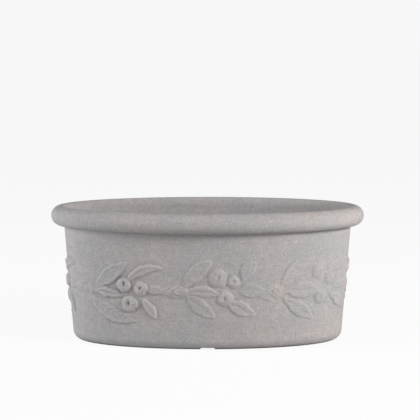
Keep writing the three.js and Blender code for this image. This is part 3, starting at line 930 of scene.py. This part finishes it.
def build_seal(node):
    """A washer with rounded edges and two fine sealing ribs on each face."""
    low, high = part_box(node)
    centre = ((low[0] + high[0]) / 2, (low[1] + high[1]) / 2)
    outside, inside = (high[0] - low[0]) / 2, SEAL_BORE
    base, top = low[2], high[2]
    face = [(inside + SEAL_CHAMFER, SEAL_RIB_HEIGHT)]
    for rib in (inside + SEAL_RIB_INSET, outside - SEAL_RIB_INSET):
        face += [(rib - SEAL_RIB_HALF, SEAL_RIB_HEIGHT), (rib, 0), (rib + SEAL_RIB_HALF, SEAL_RIB_HEIGHT)]
    face += [(outside - SEAL_CHAMFER, SEAL_RIB_HEIGHT)]
    lower = [(r, base + depth) for r, depth in face]
    upper = [(r, top - depth) for r, depth in face[::-1]]
    rim = [(outside, base + SEAL_EDGE), (outside, top - SEAL_EDGE)]
    bore = [(inside, top - SEAL_EDGE), (inside, base + SEAL_EDGE)]
    seal = Body()
    rings = seal.lathe(centre, lower + rim + upper + bore, PLUG_STEPS)
    seal.bridge(rings[-1], rings[0])
    return seal.mesh(node + "_moulding", 60)


# --- Materials --------------------------------------------------------------------------------------


class Nodes:
    """Short-hand for building a material's node tree."""

    def __init__(self, name):
        self.material = bpy.data.materials.new(name)
        self.material.use_nodes = True
        self.tree = self.material.node_tree
        self.shader = self.tree.nodes["Principled BSDF"]
        self.place = self.tree.nodes.new("ShaderNodeTexCoord").outputs["Object"]

    def link(self, source, target):
        """Joins an output socket to an input socket."""
        self.tree.links.new(source, target)

    def noise(self, scale, detail, rough, distortion=0.0, squeeze=None):
        """A noise whose pattern is made finer by `squeeze`, three factors for the object's axes."""
        node = self.tree.nodes.new("ShaderNodeTexNoise")
        node.inputs["Scale"].default_value = scale
        node.inputs["Detail"].default_value = detail
        node.inputs["Roughness"].default_value = rough
        node.inputs["Distortion"].default_value = distortion
        if squeeze is None:
            self.link(self.place, node.inputs["Vector"])
            return node.outputs["Fac"]
        scaled = self.tree.nodes.new("ShaderNodeMapping")
        scaled.inputs["Scale"].default_value = squeeze
        self.link(self.place, scaled.inputs["Vector"])
        self.link(scaled.outputs["Vector"], node.inputs["Vector"])
        return node.outputs["Fac"]

    def spread(self, value, low, high, to_low, to_high):
        """Maps low..high of value to to_low..to_high, clamped."""
        node = self.tree.nodes.new("ShaderNodeMapRange")
        for socket, number in zip(("From Min", "From Max", "To Min", "To Max"), (low, high, to_low, to_high)):
            node.inputs[socket].default_value = number
        self.link(value, node.inputs["Value"])
        return node.outputs["Result"]

    def cover(self, under, colour, value, low, high, share=1.0):
        """Covers one colour with another: not at all where value is low, and by `share` where it is high.

        Each colour is a tuple or a socket.
        """
        node = self.tree.nodes.new("ShaderNodeMix")
        node.data_type = "RGBA"
        self.link(self.spread(value, low, high, 0.0, share), node.inputs[0])
        for socket, paint in ((node.inputs[6], under), (node.inputs[7], colour)):
            if isinstance(paint, tuple):
                socket.default_value = (*paint, 1)
            else:
                self.link(paint, socket)
        return node.outputs[2]

    def attribute(self, name):
        """The value that the mesh stores under this name."""
        node = self.tree.nodes.new("ShaderNodeAttribute")
        node.attribute_name = name
        return node.outputs["Fac"]

    def bump(self, value, distance, strength, after=None):
        """A normal that rises by distance where value does, on top of the normal `after`."""
        node = self.tree.nodes.new("ShaderNodeBump")
        node.inputs["Distance"].default_value = distance
        node.inputs["Strength"].default_value = strength
        self.link(value, node.inputs["Height"])
        if after is not None:
            self.link(after, node.inputs["Normal"])
        return node.outputs["Normal"]


COOL_GREY = (0.286, 0.295, 0.302)
WARM_GREY = (0.364, 0.326, 0.317)
PINK_GREY = (0.382, 0.328, 0.336)
DARK_GREY = (0.258, 0.255, 0.252)
STREAK_GREY = (0.235, 0.228, 0.228)
PALE_GRAIN = (0.435, 0.411, 0.412)
DARK_SPECK = (0.165, 0.16, 0.162)
WHITE_FLECK = (0.60, 0.585, 0.57)
# dust and painted shade for the hollows of the garland
HOLLOW_DUST_AND_SHADE = (0.17, 0.16, 0.16)
WORN_RIDGE = (0.50, 0.485, 0.47)
# colour of the painted contact shadow along the foot
PAINTED_FOOT_SHADOW = (0.075, 0.069, 0.067)
STREAKS = (1, 1, 16)  # finest up the wall, so that they run round it


def stone_effect():
    """Matt grey moulding compound: clouds, faint streaks, granite speckle, hollows darkened by dust and
    painted shade, and a painted contact shadow along the foot.
    """
    n = Nodes("stone_effect")
    clouds = n.cover(COOL_GREY, WARM_GREY, n.noise(13, 3, 0.55), 0.38, 0.62)
    pink = n.cover(clouds, PINK_GREY, n.noise(31, 3, 0.6, 0.4), 0.45, 0.7, share=0.5)
    patches = n.cover(pink, DARK_GREY, n.noise(95, 4, 0.65), 0.38, 0.62, share=0.66)
    streaks = n.noise(17, 4, 0.62, squeeze=STREAKS)
    drawn = n.cover(patches, STREAK_GREY, streaks, 0.42, 0.62, share=0.3)
    grain = n.cover(drawn, PALE_GRAIN, n.noise(390, 3, 0.65), 0.38, 0.62, share=0.34)
    specks = n.cover(grain, DARK_SPECK, n.noise(620, 2, 0.5), 0.56, 0.68, share=0.54)
    flecks = n.cover(specks, WHITE_FLECK, n.noise(540, 2, 0.5, 0.5), 0.60, 0.70, share=0.44)
    crest = n.attribute("crest")
    # hollows darkened: part dust, part painted shade
    hollows = n.cover(flecks, HOLLOW_DUST_AND_SHADE, crest, -0.1, -0.9, share=0.22)
    worn = n.cover(hollows, WORN_RIDGE, crest, 0.15, 0.9, share=0.16)
    # painted contact shadow along the foot
    foot_shadow = n.cover(worn, PAINTED_FOOT_SHADOW, crest, -0.75, -1.45, share=0.9)
    n.link(foot_shadow, n.shader.inputs["Base Color"])
    n.link(n.spread(n.noise(260, 3, 0.6), 0.3, 0.7, 0.74, 0.92), n.shader.inputs["Roughness"])
    n.shader.inputs["Specular IOR Level"].default_value = 0.35
    coarse = n.bump(n.noise(230, 3, 0.6), 0.8 * MM, 0.4)
    n.link(n.bump(n.noise(1100, 3, 0.65), 0.3 * MM, 0.5, after=coarse), n.shader.inputs["Normal"])
    return n.material


SCRATCHES = (1, 14, 3)  # finest along Y, so that they run along X


def moulded_plastic(name, dark, light, dust, roughness):
    """Black moulded plastic: uneven colour, an orange-peel skin, fine scratches, edges painted paler as wear
    and painted highlight, and dust.
    """
    def paler(times):
        return tuple(times * part for part in light)

    n = Nodes(name)
    clouds = n.cover(dark, light, n.noise(35, 4, 0.6), 0.35, 0.65)
    grain = n.cover(clouds, paler(1.7), n.noise(900, 2, 0.5), 0.5, 0.72, share=0.5)
    # edges painted paler: part wear, part painted highlight
    edges = n.cover(grain, paler(2.6), n.attribute("crest"), 0.2, 1.0, share=0.35)
    scuffed = n.cover(edges, paler(2.2), n.noise(60, 3, 0.7, 0.3, squeeze=SCRATCHES), 0.56, 0.68, share=0.45)
    dusty = n.cover(scuffed, dust, n.noise(26, 6, 0.72, 0.6), 0.47, 0.74, share=0.6)
    n.link(dusty, n.shader.inputs["Base Color"])
    uneven = n.spread(n.noise(120, 3, 0.6), 0.3, 0.7, roughness - 0.1, roughness + 0.16)
    n.link(uneven, n.shader.inputs["Roughness"])
    n.shader.inputs["Specular IOR Level"].default_value = 0.45
    peel = n.bump(n.noise(420, 2, 0.5), 0.4 * MM, 0.35)
    scored = n.bump(n.noise(70, 3, 0.7, 0.3, squeeze=SCRATCHES), 0.2 * MM, 0.3, after=peel)
    n.link(scored, n.shader.inputs["Normal"])
    return n.material


# --- Pieces -----------------------------------------------------------------------------------------


def add_piece(name, mesh, material, body, slot, *nodes):
    """Adds one piece, and says which body carries it and the CAD nodes it stands for. The slot argument is
    not used.
    """
    mesh.materials.append(material)
    piece = bpy.data.objects.new(name, mesh)
    bpy.context.collection.objects.link(piece)
    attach(piece, body)
    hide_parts(*nodes)


add_camera()
add_studio()
add_piece("stone_tub", build_tub(), stone_effect(), "planter", "stone_effect", "planter_shell")
grid_plastic = moulded_plastic(
    "grid_plastic",
    dark=(0.052, 0.054, 0.056),
    light=(0.092, 0.092, 0.090),
    dust=(0.27, 0.24, 0.20),
    roughness=0.5,
)
plug_plastic = moulded_plastic(
    "plug_plastic",
    dark=(0.036, 0.039, 0.041),
    light=(0.052, 0.054, 0.055),
    dust=(0.13, 0.12, 0.10),
    roughness=0.42,
)
seal_rubber = moulded_plastic(
    "seal_rubber",
    dark=(0.009, 0.009, 0.009),
    light=(0.016, 0.016, 0.016),
    dust=(0.09, 0.08, 0.07),
    roughness=0.8,
)
add_piece("grid_moulding", build_grid(), grid_plastic, "grid", "grid_plastic", "drainage_grid")
for place in drain_places():
    plug, seal, body = "drain_plug_" + place, "plug_seal_" + place, "plug_" + place
    add_piece(plug + "_moulding", build_plug(plug), plug_plastic, body, "plug_plastic", plug)
    add_piece(seal + "_moulding", build_seal(seal), seal_rubber, body, "seal_rubber", seal)
